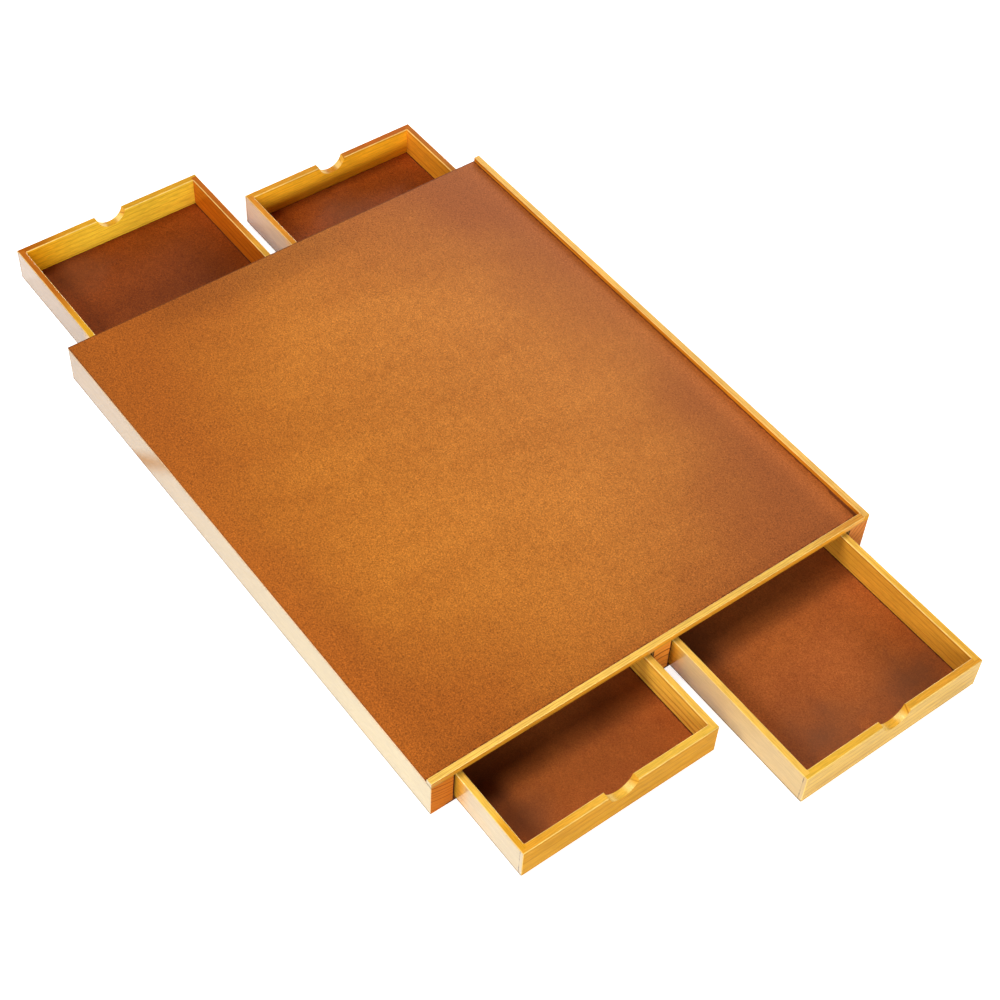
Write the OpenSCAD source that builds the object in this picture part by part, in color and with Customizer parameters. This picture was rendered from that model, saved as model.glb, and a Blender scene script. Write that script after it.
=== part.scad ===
// Flat wooden puzzle board with a hardboard work surface and four drawers.
// The drawers slide out of the two short ends, two at each end.
// X runs along the board and is the way the drawers slide. The near end is at +X.
// The origin is the centre of the underside, on the surface that the board rests on.

/* [Board] */
// Length of the board, along the way the drawers slide
board_l = 700; // [640:5:900]
// Width of the board
board_w = 575; // [500:5:700]
// Thickness of the hardboard sheet that closes the underside
base_t = 2.5; // [2:0.5:4]
// Width of the rebates in the side rails that the underside sheet lies in
base_seat = 10; // [9:0.5:14]
// Gap between the underside sheet's edges and the rebates
base_gap = 0.3; // [0.1:0.1:0.5]
// Height of the divider and the cross rails between the two hardboard sheets
rail_h = 44.5; // [38:0.5:60]
// Thickness of each side rail
rail_t = 28.5; // [20:0.5:36]
// Thickness of the centre divider
divider_t = 26; // [20:0.5:36]
// Thickness of the two cross rails in the middle of the board
cross_t = 28; // [20:0.5:40]
// Thickness of the hardboard work surface
panel_t = 2.5; // [2:0.5:5]
// Width of the raised lips
lip_w = 7.6; // [6:0.2:14]
// Height of the raised lips, from the top of the rails
lip_h = 8; // [6:0.5:14]

/* [Drawers] */
// Running gap between a drawer and the frame, on each side
side_gap = 1.5; // [0.5:0.25:3]
// Gap between the top of a drawer and the work surface above it
top_gap = 3.5; // [1:0.5:6]
// Gap between a closed drawer and the cross rail behind it
end_gap = 1; // [0.5:0.5:5]
// Thickness of the drawer sides
side_t = 8; // [6:0.5:12]
// Thickness of the drawer front
front_t = 9; // [8:0.5:14]
// Thickness of the front where it laps over the ends of the sides
lap_t = 4.5; // [3:0.5:5]
// Thickness of the drawer back
back_t = 8; // [7:0.5:14]
// Thickness of the drawer floor
floor_t = 2.5; // [2:0.5:4]
// Height of the floor's groove above the drawer's lower edge
floor_up = 1.5; // [1:0.5:5]
// Depth of the floor's groove in the drawer walls
groove_d = 3; // [2:0.5:4]
// Gap between the floor's edge and the bottom of its groove
groove_gap = 0.3; // [0.2:0.1:0.8]
// Diameter of the round finger notch
notch_d = 38; // [24:1:50]
// Height of the notch's centre above the top of the drawer front
notch_rise = 3.5; // [1:0.5:6]

/* [Drawer openings] */
// How far the near left drawer stands out
open_1 = 105; // [0:1:250]
// How far the near right drawer stands out
open_2 = 200; // [0:1:250]
// How far the far left drawer stands out
open_3 = 178; // [0:1:250]
// How far the far right drawer stands out
open_4 = 110; // [0:1:250]

/* [Edges] */
// Radius of the eased edges on the drawers
drawer_ease = 1.5; // [0.5:0.25:2.5]
// Radius of the eased edges on the lips
lip_ease = 1; // [0.5:0.25:2]
// Radius of the eased upright corners of the frame
frame_ease = 1; // [0.5:0.25:2]

/* [Fasteners] */
// Diameter of the dowels that hold the frame together
dowel_d = 8; // [6:0.5:10]
// Depth of a dowel in each piece that it joins
dowel_in = 18; // [10:1:18]
// Distance of each dowel from the upper or lower edge of the frame
dowel_edge = 12; // [10:0.5:16]
// Gap around a dowel in its bore
dowel_gap = 0.05; // [0.02:0.01:0.1]
// Gap between a dowel's end and the bottom of its bore
dowel_end_gap = 1; // [0.5:0.5:2]
// Diameter of the screws in the underside
screw_d = 3; // [2.5:0.5:4]
// Length of the screws
screw_l = 16; // [12:1:25]
// Diameter of the screw heads
head_d = 5.6; // [5:0.2:8]
// Distance of the outer screws from the ends of the board
screw_inset = 30; // [20:1:60]
// Number of screws in each long frame member
screw_count = 4; // [2:2:8]
// Depth of the countersunk heads below the underside
head_sink = 0.2; // [0.1:0.1:0.5]
// Gap around a screw in its hole
screw_gap = 0.05; // [0.02:0.01:0.1]
// Diameter of the brads in the drawer corners
brad_d = 1.6; // [1.2:0.2:2]
// Length of the brads
brad_l = 22; // [18:1:30]
// Depth of a brad's filled head below the drawer side's surface
brad_sink = 1; // [0.5:0.25:2]
// Height of the lower brad above the drawer's lower edge
brad_low = 10; // [8:0.5:14]
// Distance of the upper brad from the drawer's upper edge
brad_high = 10; // [6:0.5:14]
// Gap around a brad in its hole
brad_gap = 0.03; // [0.02:0.01:0.1]

/* [Hidden] */
$fn = 48;
// Amount by which a cut passes through a face
cut = 1;
half_l = board_l / 2;
half_w = board_w / 2;
frame_top = base_t + rail_h;
rail_in = half_w - rail_t;
divider_y = divider_t / 2;
bay_w = rail_in - divider_y;
bay_y = divider_y + bay_w / 2;

drawer_w = bay_w - 2 * side_gap;
drawer_l = half_l - cross_t / 2 - end_gap;
drawer_h = rail_h - top_gap;
// Distance of the brads from the drawer's outer face and from its inner end
brad_front = (front_t + lap_t) / 2;
brad_back = back_t / 2;
// Each drawer's place: the end that it opens at, its side of the divider, how far it is out
DRAWERS = [[1, -1, open_1], [1, 1, open_2], [-1, -1, open_3], [-1, 1, open_4]];

// Screws stand in rows along each long frame member
screw_step = (board_l - 2 * screw_inset) / (screw_count - 1);
screw_xs = [for (i = [0 : screw_count - 1]) screw_inset - half_l + i * screw_step];
screw_ys = [-rail_in - base_seat / 2, 0, rail_in + base_seat / 2];
head_h = (head_d - screw_d) / 2;

dowel_zs = [base_t + dowel_edge, frame_top - dowel_edge];
brad_zs = [brad_low, drawer_h - brad_high];

HONEY = [0.91, 0.66, 0.27];
AMBER = [0.86, 0.58, 0.22];
BROWN = [0.64, 0.36, 0.17];
BEECH = [0.87, 0.75, 0.55];
STEEL = [0.70, 0.70, 0.72];

// A rectangle whose two upper corners are rounded
module eased_top(w, h, r) {
    square([w, h - r]);
    translate([r, 0]) square([w - 2 * r, h]);
    for (x = [r, w - r]) translate([x, h - r]) circle(r);
}

// A rectangle whose four corners are rounded
module eased_plan(l, w, r) {
    translate([r, 0]) square([l - 2 * r, w]);
    translate([0, r]) square([l, w - 2 * r]);
    for (x = [r, l - r], y = [r, w - r]) translate([x, y]) circle(r);
}

// A bar along X from x = 0, with its upper edges rounded
module bar_x(l, w, h, r) {
    rotate([90, 0, 90]) linear_extrude(l) eased_top(w, h, r);
}

// A bar along Y from y = 0, with its upper edges rounded
module bar_y(l, w, h, r) {
    translate([w, 0, 0]) rotate([90, 0, 180]) linear_extrude(l) eased_top(w, h, r);
}

// A block from the origin, with its four upper edges rounded
module eased_block(l, w, h, r) {
    intersection() {
        bar_x(l, w, h, r);
        bar_y(w, l, h, r);
    }
}

// A cylinder along Y from y = 0
module rod_y(d, l) {
    rotate([-90, 0, 0]) cylinder(d = d, h = l);
}

// A countersunk screw standing with its head at z = 0 and its point up
module screw(gap) {
    r = screw_d / 2 + gap;
    rotate_extrude() polygon([
        [0, 0], [head_d / 2 + gap, 0], [r, head_h], [r, screw_l - r], [0, screw_l]
    ]);
}

// All screws, or the holes for them
module screws(gap) {
    for (x = screw_xs, y = screw_ys) translate([x, y, head_sink]) screw(gap);
}

// The open countersinks below the sunk heads
module screw_mouths() {
    for (x = screw_xs, y = screw_ys)
        translate([x, y, -cut]) cylinder(d = head_d + 2 * screw_gap, h = head_sink + cut);
}

// The dowels between the cross rails and the long members, or the bores for them
module dowels(gap, extra) {
    d = dowel_d + 2 * gap;
    for (z = dowel_zs) {
        for (side = [-1, 1])
            translate([0, side * rail_in - dowel_in - extra, z]) rod_y(d, 2 * (dowel_in + extra));
        translate([0, -divider_y - dowel_in - extra, z])
            rod_y(d, divider_t + 2 * (dowel_in + extra));
    }
}

// A long frame member, from its lower y face and its lower edge
module long_member(y, w, z) {
    difference() {
        translate([-half_l, y, z]) linear_extrude(frame_top - z) eased_plan(board_l, w, frame_ease);
        screws(screw_gap);
        dowels(dowel_gap, dowel_end_gap);
    }
}

// The underside sheet when gap is the play at its edges, or the space for it when over is the
// amount by which a cut passes through a face
module base_slab(gap, over) {
    w = 2 * (rail_in + base_seat - gap);
    translate([-half_l - over, -w / 2, -over]) cube([board_l + 2 * over, w, base_t + over]);
}

// A side rail stands on the ground and holds the underside sheet in a rebate
module side_rail(y) {
    color(AMBER) difference() {
        long_member(y, rail_t, 0);
        base_slab(0, cut);
    }
}

module left_rail() {
    side_rail(-half_w);
}

module right_rail() {
    side_rail(rail_in);
}

module centre_divider() {
    color(AMBER) long_member(-divider_y, divider_t, base_t);
}

// A cross rail that fills the space between the divider and a side rail
module cross_rail(side) {
    color(HONEY) difference() {
        translate([-cross_t / 2, side > 0 ? divider_y : -rail_in, base_t]) cube([cross_t, bay_w, rail_h]);
        dowels(dowel_gap, dowel_end_gap);
    }
}

module base_panel() {
    color(BROWN) difference() {
        base_slab(base_gap, 0);
        screws(screw_gap);
        screw_mouths();
    }
}

// The work surface stops at the inner faces of the two lips
module work_panel() {
    color(BROWN) translate([-half_l, -half_w, frame_top])
        cube([board_l - lip_w, board_w - lip_w, panel_t]);
}

// The near lip butts against the long lip, which runs the whole length
module near_lip() {
    color(HONEY) translate([half_l - lip_w, -half_w, frame_top]) intersection() {
        bar_y(board_w - lip_w, lip_w, lip_h, lip_ease);
        bar_x(lip_w, board_w, lip_h, lip_ease);
    }
}

module long_lip() {
    color(HONEY) translate([-half_l, half_w - lip_w, frame_top])
        eased_block(board_l, lip_w, lip_h, lip_ease);
}

module frame_dowels() {
    color(BEECH) dowels(0, 0);
}

module base_screws() {
    color(STEEL) screws(0);
}

// Puts a drawer's pieces in place. A drawer is drawn with its outer face at x = 0, its inside
// towards -x, its middle at y = 0 and its lower edge at z = 0.
module place_drawer(number) {
    place = DRAWERS[number - 1];
    translate([place[0] * (half_l + place[2]), place[1] * bay_y, base_t])
        rotate([0, 0, place[0] > 0 ? 0 : 180])
        children();
}

// The space of the floor's grooves, or the floor itself when gap is the play at its edges
module floor_slab(gap) {
    from_back = back_t - groove_d + gap;
    from_front = front_t - groove_d + gap;
    from_side = side_t - groove_d + gap;
    translate([from_back - drawer_l, from_side - drawer_w / 2, floor_up])
        cube([drawer_l - from_back - from_front, drawer_w - 2 * from_side, floor_t]);
}

// The brads in the four corners of a drawer, or the holes for them
module brads(gap) {
    for (x = [-brad_front, brad_back - drawer_l], z = brad_zs) {
        translate([x, -drawer_w / 2 + brad_sink, z]) rod_y(brad_d + 2 * gap, brad_l);
        translate([x, drawer_w / 2 - brad_sink - brad_l, z]) rod_y(brad_d + 2 * gap, brad_l);
    }
}

// The outer form of a whole drawer, with its upper edges and upright corners rounded. Each wall
// is cut from it, so that the rounding runs on from one wall to the next.
module drawer_block() {
    translate([-drawer_l, -drawer_w / 2, 0]) intersection() {
        eased_block(drawer_l, drawer_w, drawer_h, drawer_ease);
        linear_extrude(drawer_h) eased_plan(drawer_l, drawer_w, drawer_ease);
    }
}

// What the walls leave out: the floor's grooves and the holes for the brads
module drawer_cuts() {
    floor_slab(0);
    brads(brad_gap);
}

// The front spans the whole drawer, with a rebate at each end for a side. Only the inner edge
// of the bar that it is cut from is used, and the same goes for the back and the sides.
module drawer_front(number) {
    color(HONEY) place_drawer(number) difference() {
        intersection() {
            drawer_block();
            translate([-front_t, -drawer_w / 2, 0]) bar_y(drawer_w, 2 * front_t, drawer_h, drawer_ease);
        }
        for (y = [-drawer_w / 2 - cut, drawer_w / 2 - side_t])
            translate([-front_t - cut, y, -cut])
                cube([front_t - lap_t + cut, side_t + cut, drawer_h + 2 * cut]);
        translate([-front_t - cut, 0, drawer_h + notch_rise])
            rotate([0, 90, 0]) cylinder(d = notch_d, h = front_t + 2 * cut);
        drawer_cuts();
    }
}

module drawer_back(number) {
    color(HONEY) place_drawer(number) difference() {
        intersection() {
            drawer_block();
            translate([-drawer_l - back_t, side_t - drawer_w / 2, 0])
                bar_y(drawer_w - 2 * side_t, 2 * back_t, drawer_h, drawer_ease);
        }
        drawer_cuts();
    }
}

// A side runs from the inner end of the drawer to the lap of the front. Its inner edge is
// rounded between the back and the front only. Hand is -1 for the left side and 1 for the right
// side, as seen by the person who pulls the drawer.
module drawer_side(number, hand) {
    y = hand < 0 ? -drawer_w / 2 : drawer_w / 2 - side_t;
    plan_y = hand < 0 ? y - side_t : y;
    color(HONEY) place_drawer(number) difference() {
        intersection() {
            drawer_block();
            union() {
                translate([back_t - drawer_l, plan_y, 0])
                    bar_x(drawer_l - back_t - front_t, 2 * side_t, drawer_h, drawer_ease);
                translate([-drawer_l, y, 0]) cube([back_t, side_t, drawer_h]);
                translate([-front_t, y, 0]) cube([front_t - lap_t, side_t, drawer_h]);
            }
        }
        drawer_cuts();
    }
}

module drawer_floor(number) {
    color(BROWN) place_drawer(number) floor_slab(groove_gap);
}

module drawer_brads(number) {
    color(STEEL) place_drawer(number) brads(0);
}

base_panel();
left_rail();
right_rail();
centre_divider();
cross_rail(-1);  // left_cross_rail
cross_rail(1);  // right_cross_rail
work_panel();
near_lip();
long_lip();
frame_dowels();
base_screws();
drawer_front(1);  // drawer_1_front
drawer_back(1);  // drawer_1_back
drawer_side(1, -1);  // drawer_1_left_side
drawer_side(1, 1);  // drawer_1_right_side
drawer_floor(1);  // drawer_1_floor
drawer_brads(1);  // drawer_1_brads
drawer_front(2);  // drawer_2_front
drawer_back(2);  // drawer_2_back
drawer_side(2, -1);  // drawer_2_left_side
drawer_side(2, 1);  // drawer_2_right_side
drawer_floor(2);  // drawer_2_floor
drawer_brads(2);  // drawer_2_brads
drawer_front(3);  // drawer_3_front
drawer_back(3);  // drawer_3_back
drawer_side(3, -1);  // drawer_3_left_side
drawer_side(3, 1);  // drawer_3_right_side
drawer_floor(3);  // drawer_3_floor
drawer_brads(3);  // drawer_3_brads
drawer_front(4);  // drawer_4_front
drawer_back(4);  // drawer_4_back
drawer_side(4, -1);  // drawer_4_left_side
drawer_side(4, 1);  // drawer_4_right_side
drawer_floor(4);  // drawer_4_floor
drawer_brads(4);  // drawer_4_brads
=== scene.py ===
"""Looks for a flat wooden puzzle board with four drawers.

The CAD nodes keep their places and sizes. Here they get eased edges, varnished pine or brown
hardboard, a pale studio and the camera. Lengths are in metres and colours are linear.
"""
import math

import bpy
from mathutils import Matrix, Vector


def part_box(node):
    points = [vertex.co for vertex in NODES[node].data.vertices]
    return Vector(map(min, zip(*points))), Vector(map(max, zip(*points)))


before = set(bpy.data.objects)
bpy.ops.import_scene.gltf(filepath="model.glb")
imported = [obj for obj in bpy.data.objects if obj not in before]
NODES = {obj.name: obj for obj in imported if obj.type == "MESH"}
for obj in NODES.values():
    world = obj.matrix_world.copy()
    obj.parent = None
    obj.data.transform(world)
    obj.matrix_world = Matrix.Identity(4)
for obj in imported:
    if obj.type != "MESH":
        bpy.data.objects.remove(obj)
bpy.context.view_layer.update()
MM = 0.001

# The camera, in the object's frame. Its angles are in degrees and its sensor in millimetres
CAMERA_AT = Vector((1.1099, -0.8653, 1.6370))
CAMERA_AZIMUTH = 49.983
CAMERA_ELEVATION = 50.432
CAMERA_ROLL = 3.979
FOCAL_SHARE = 1.9355
SENSOR = 36.0
CLIP_START, CLIP_END = 0.05, 30.0

# The soft boxes, which face the object's middle: place, width, height and power
SOFT_BOXES = {
    "above": ((-1.80, -0.90, 4.20), 1.3, 1.3, 68.0),
    "left": ((-0.50, -3.60, 3.40), 1.5, 1.3, 134.0),
    "back": ((-3.00, 3.60, 1.80), 2.6, 1.6, 214.0),
    "corner": ((3.20, -4.20, 1.60), 3.0, 2.0, 96.0),
    "front": ((4.90, -0.60, 1.45), 3.0, 0.8, 172.0),
}
# The world's light, as the camera sees it and as it falls on the object
WORLD_SHOWN, WORLD_LIT = 1.0, 0.04
# The studio floor: half its width, its height just below the object, its grey and its roughness
FLOOR_HALF = 6.0
FLOOR_HEIGHT = -0.2 * MM
FLOOR_GREY = 0.80
FLOOR_ROUGHNESS = 0.9
# How far from the origin the floor's glow rises, and from what level to what level
GLOW_REACH = (1.5, 3.0)
GLOW_LEVELS = (0.75, 1.0)

# Varnished pine between its growth rings
HONEY = (0.820, 0.470, 0.060)
GOLDEN = (0.860, 0.440, 0.038)
MARIGOLD = (0.780, 0.345, 0.026)
AMBER = (0.700, 0.315, 0.028)
STRAW = (0.640, 0.380, 0.042)
OCHRE = (0.590, 0.280, 0.010)
TAN = (0.670, 0.298, 0.022)
RUSSET = (0.550, 0.127, 0.004)
RUST = (0.690, 0.228, 0.012)
# The dark lines of the late wood, as shares of the colour between them
LATE_SHARE = (0.66, 0.46, 0.45)
# Cut ends and the lines in them
LEFT_END = ((0.450, 0.130, 0.012), (0.225, 0.048, 0.005))
RIGHT_END = ((0.600, 0.205, 0.042), (0.390, 0.115, 0.022))
MIDDLE_END = ((0.660, 0.232, 0.028), (0.140, 0.030, 0.005))
WALL_END = ((0.700, 0.340, 0.030), (0.480, 0.190, 0.015))
# The painted highlight on the arrises, and the dark of the painted shade in the gaps beside the drawers,
# under arrises and along feet, which is also the dark of the joint lines
ARRIS_HIGHLIGHT = (0.940, 0.680, 0.220)
SHADE_AND_JOINT_DARK = (0.030, 0.010, 0.005)
# The painted reflection of the bright floor on the faces towards -Y, at the far end and at the near end, by
# the number of the drawer
PAINTED_REFLECTION = {
    "frame": ((0.355, 0.205, 0.072), (0.560, 0.415, 0.190)),
    1: ((0.355, 0.205, 0.085), (0.580, 0.425, 0.215)),
    2: ((0.355, 0.205, 0.085), (0.600, 0.390, 0.125)),
    3: ((0.330, 0.190, 0.085), (0.580, 0.425, 0.205)),
    4: ((0.600, 0.365, 0.150), (0.600, 0.365, 0.150)),
}
SMUDGE = (0.430, 0.205, 0.058)
# Stained hardboard, lighter and darker
BOARD = ((0.525, 0.182, 0.028), (0.412, 0.131, 0.018))
NEAR_FLOOR = ((0.470, 0.124, 0.024), (0.350, 0.085, 0.018))
FAR_FLOOR = ((0.255, 0.053, 0.007), (0.190, 0.036, 0.004))
BASE = ((0.360, 0.088, 0.016), (0.280, 0.064, 0.012))
# The board's rim, darker partly as stain and partly as painted shade, and what its stain is multiplied by,
# which adds a painted sheen towards +Y, on its side towards -Y and towards +Y
BOARD_RIM = ((0.340, 0.088, 0.009), (0.300, 0.080, 0.016))
BOARD_TINT_AND_SHEEN = ((1.000, 0.970, 0.680), (1.000, 1.000, 1.100))
SEAM = (0.060, 0.014, 0.004)
GLUE_STRIP = (0.400, 0.118, 0.030)
SHEET_EDGE = (0.120, 0.036, 0.008)
# The painted reflection on the work panel's cut edge towards -Y at its far end and at its near end
EDGE_REFLECTION = ((0.620, 0.400, 0.220), (0.790, 0.570, 0.350))
# The dark of the floors' spots: grime, and painted shade where a spot lies by the board's edge or in a
# corner
GRIME_AND_SHADE = (0.160, 0.058, 0.026)
BEECH = (0.52, 0.38, 0.21)
ZINC = (0.55, 0.56, 0.58)

# The top of the near lip from -Y to +Y, and the top of the long lip, with painted light and shade that sets
# them apart from the lips' sides
LIP_TOPS = {
    "near_lip": ((0.870, 0.545, 0.100), (0.600, 0.255, 0.034)),
    "long_lip": (0.800, 0.450, 0.100),
}
# The faces of each drawer's front, from -Y to +Y, and the varnish on them
FRONT_FACES = {
    1: (OCHRE, 0.05),
    2: (STRAW, 0.35),
    3: (((0.900, 0.400, 0.006), (0.990, 0.630, 0.042)), 0.10),
    4: (((1.000, 0.480, 0.022), (0.980, 0.440, 0.016)), 0.10),
}
# The tops of each front, from -Y to +Y, with painted light and shade that sets them apart from the faces,
# and between which places on Y the colours of it change
FRONT_TOPS = {
    1: (MARIGOLD, (0.780, 0.450, 0.055)),
    2: ((0.780, 0.430, 0.040), (0.690, 0.295, 0.025)),
    3: ((0.360, 0.085, 0.002), (0.600, 0.285, 0.016)),
    4: ((0.620, 0.265, 0.018), (0.445, 0.106, 0.004)),
}
FRONT_SPANS = {1: (-0.260, -0.090), 2: (0.015, 0.260), 3: (-0.255, -0.165), 4: (0.105, 0.190)}
# The tops of the side towards -Y and of the side towards +Y, each from the board outwards, with painted
# light and shade that sets them apart from the sides
SIDE_TOPS = {
    1: ((HONEY, (0.750, 0.340, 0.014)), (0.840, 0.465, 0.065)),
    2: ((0.820, 0.470, 0.072), ((0.900, 0.520, 0.078), (0.800, 0.415, 0.045))),
    3: (((0.730, 0.368, 0.014), (0.420, 0.110, 0.002)), ((0.638, 0.310, 0.030), (0.430, 0.105, 0.004))),
    4: ((0.600, 0.215, 0.012), ((0.480, 0.150, 0.008), (0.440, 0.120, 0.005))),
}
# Between which distances outwards from the board the tops of the sides change
SIDE_SPANS = {1: (0.045, 0.075), 2: (0.0, 0.100), 3: (0.0, 0.100), 4: (0.0, 0.100)}
# The colour of each drawer's wall whose inner face looks towards -Y
INWARD = {1: (0.920, 0.490, 0.055), 2: AMBER, 3: RUSSET, 4: (0.830, 0.320, 0.018)}
# Dark spots on the floors: grime, but painted shade for those at 0.352 on X by the board's edge and for
# drawer 3's corner spot. Their places along X and Y, radii and strengths
FLOOR_MARKS = {
    1: ((0.414, -0.218, 0.040, 0.55), (0.352, -0.235, 0.045, 0.50)),
    2: ((0.512, 0.082, 0.056, 0.82), (0.516, 0.205, 0.062, 0.80), (0.352, 0.045, 0.045, 0.50)),
    3: ((-0.500, -0.210, 0.055, 0.45),),
    4: ((-0.402, 0.121, 0.045, 0.4),),
}
# Each floor's stain, its coarseness, its light beside the walls, and its fade: two places along X
# and the floor's light at each
FLOORS = {
    1: (NEAR_FLOOR, 0.21, 0.88, (0.370, 0.389, 0.74, 1.0)),
    2: (NEAR_FLOOR, 0.28, 0.88, (0.370, 0.389, 0.70, 1.0)),
    3: (FAR_FLOOR, 0.38, 1.0, (-0.370, -0.510, 0.78, 1.12)),
    4: (FAR_FLOOR, 0.42, 1.0, (-0.360, -0.440, 0.92, 1.38)),
}

# How wide the eased edges of the wood and of the work panel are, and how they are made
WOOD_EASING = 0.7 * MM
PANEL_EASING = 0.4 * MM
EASING_STEPS = 3
SHARP_ANGLE = math.radians(40)
WELD_REACH = 0.002 * MM

# Noises in cells per metre. Those of the wood are given across and along the grain
RING_SWAYS = (7.0, 1.3)
FIBRES = (950.0, 70.0)
STREAKS = (90.0, 4.0)
WOOD_PATCHES = 14.0
ORANGE_PEEL = 170.0
REFLECTION_CLOUDS = (9.0, 9.0, 22.0)
JOINT_BREAKS = (30.0, 30.0, 110.0)
BOARD_CLOUDS = (13.0, 5.5, 9.0)
BLOTCHES = 80.0
MOTTLE = 650.0
SPECKS = 800.0
SEAM_BREAKS = 160.0
GRIME_WARPS = 18.0
RIM_DRIFTS = 7.0
GLUE_WANDERS = (380.0, 60.0, 60.0)
FINE_MARKS = 900.0

# How far the growth rings sway along a piece, how much their widths differ and how fast, which
# part of each ring is dark late wood, where it ends, and the strength of the faintest ring
RING_SWAY = 12 * MM
RING_UNEVENNESS = 1.6
RING_PACE = 0.45
LATE_WOOD = (0.62, 0.92)
RING_END = (0.94, 1.0)
FAINTEST_RING = 0.35
# The strengths of the painted highlight on arrises above and beside a piece, and of the painted shade on
# those below it
ARRIS_LIGHT_STRENGTH = 0.65
ARRIS_SHADE_STRENGTH = 0.70
# How far the painted shade on an end grain reaches from a drawer's opening, and on the faces inside the
# opening, and how dark that is
OPENING_RIM = (1.5 * MM, 2.4 * MM)
OPENING_INSIDE = (0.3 * MM, 0.8 * MM)
GAP_SHADE_STRENGTH = 0.7
# The varnish's share on a piece's top, its roughness, and what a smudge takes away of it
TOP_VARNISH = 0.15
VARNISH_ROUGHNESS = 0.06
SMUDGE_DULLS = -0.85
# How far a smudge leans along X as it rises, how ragged it is, and its width
SMUDGE_LEAN = 1.2
SMUDGE_RAGGED = 30 * MM
SMUDGE_WIDTH = (14 * MM, 44 * MM)
# Along X, the smudge on the left rail, and between which places the painted reflections change
RAIL_SMUDGE = -0.200
REFLECTION_SPAN = (-0.36, 0.30)
# How far past the board's end the painted reflection on a drawer's wall sets in
REFLECTION_START = (4 * MM, 24 * MM)
# A distance that lies inside the board, so that the painted reflection covers the whole face
EVERYWHERE = -1.0

# Mappings of the wood's noises: two values, and the levels at them
FIBRE_LIGHT = (0.34, 0.68, 0.86, 1.10)
PATCH_LIGHT = (0.25, 0.75, 0.92, 1.05)
STREAK_LINES = (0.45, 0.78, 0.0, 0.30)
STREAK_ROUGHNESS = (0.2, 0.8, 0.38, 0.50)
REFLECTION_LIGHT = (0.8, 1.15, 0.9, 1.07)
REFLECTION_THIN = (0.58, 0.80, 0.0, 0.15)
JOINT_BROKEN = (0.40, 0.60, 0.15, 0.75)
# Which parts of a surface's direction make it look upwards, along the grain, downwards or towards
# -Y, and which lay it flat on an axis. Each changes softly between its two values
LOOKS_UP = (0.55, 0.90)
LOOKS_ALONG = (0.60, 0.90)
LOOKS_DOWN = (-0.35, -0.10)
LOOKS_LEFT = (-0.9, -0.6)
LEANS_LEFT = (-0.5, -0.2)
ON_AXIS = (0.86, 0.985)
# The same for the broad faces of a sheet, and for its cut edge towards -Y
SHEET_FACE = (0.3, 0.9)
LEFT_EDGE = (-0.99, -0.90)
# The late wood at which the lines of the end grain begin and are full
END_LINES = (0.05, 0.75)
# Where the joint line fades beside its middle, where the painted shadow along the foot fades above it
# and how dark it is, and how deep below a piece's outermost face a surface still counts as that
JOINT_LINE = (0.3 * MM, 0.9 * MM)
FOOT_SHADOW = (0.8 * MM, 3.2 * MM)
FOOT_SHADOW_DARK = 0.65
OUTERMOST = (0.5 * MM, 1.0 * MM)
# The height over which a smudge fades, and its strength at the foot and at that height
SMUDGE_HEIGHT = 45 * MM
SMUDGE_FADE = (0.92, 0.78)
# Reliefs: their depth and their strength. The late wood adds its share to the fibres' relief
WOOD_RELIEF = (0.08 * MM, 0.35)
VARNISH_RELIEF = (0.04 * MM, 0.20)
SHEET_RELIEF = (0.10 * MM, 0.30)
MARK_RELIEF = (0.05 * MM, 0.3)
LATE_RELIEF = 0.6
# The wood's specular level, and how much rougher its cut ends are
WOOD_SPECULAR = 0.03
END_ROUGHNESS = 0.25
# The light of the fine marks on hidden pieces
MARK_LIGHT = (0.3, 0.7, 0.86, 1.06)

# The hardboard's tone from its clouds and its blotches, each times a factor and plus a number
CLOUD_TONE = (1.5, -0.5)
BLOTCH_TONE = (1.6, -0.65)
# The hardboard's light around which its grit varies, the range of its mottle, its pale specks, and
# the grit of the board and of the base
GRIT_LIGHT = 0.97
MOTTLE_RANGE = (0.32, 0.68)
SPECK_LIGHT = (0.70, 0.80, 0.0, 0.28)
BOARD_GRIT = 0.42
BASE_GRIT = 0.25
# The roughness and the specular level of the sheets, and their index of refraction
BASE_SHEEN = (0.55, 0.05)
FLOOR_SHEEN = (0.40, 0.08)
BOARD_SHEEN = (0.42, 0.08)
SHEET_IOR = 1.4
# Seams: their width and strength
FLOOR_SEAM = (0.7 * MM, 0.8)
WIDE_FLOOR_SEAM = (2.0 * MM, 0.95)
# The near lip's seam is partly a dark glue line and partly painted shade beside the lip
NEAR_LIP_SEAM = (4.0 * MM, 0.9)
LONG_LIP_SEAM = (2.8 * MM, 0.72)
# As shares of a seam's width: the least of it, what the noise adds to that, and where it fades
SEAM_LEAST, SEAM_MORE = 0.1, 2.0
SEAM_FADE = (0.3, 1.0)
# How deep a drawer's floor lies in the grooves of its walls, and the reach of the walls' shade
FLOOR_IN_GROOVE = 2.7 * MM
WALL_SHADE = 30 * MM
# As shares of a grimy spot's radius, how ragged it is, and where it begins and has ended to fade
SPOT_RAGGED = 1.4
SPOT_FADE = (0.6, 2.0)
# The work surface's stain and painted shade, in shares of half its size: where the tint changes along Y,
# the weights of the places along X and Y in the darkening, its drift as factor and sum, and where it darkens
TINT_SPAN = (-0.9, 0.9)
RIM_ALONG_X, RIM_ALONG_Y = 0.75, 1.15
RIM_DRIFT = (1.1, -0.55)
RIM_DARKENS = (0.05, 1.35)
# Two places along Y, and the strength of the work surface's grit at them
GRIT_CALMS = (0.05, 0.25, 1.0, 0.72)
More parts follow.
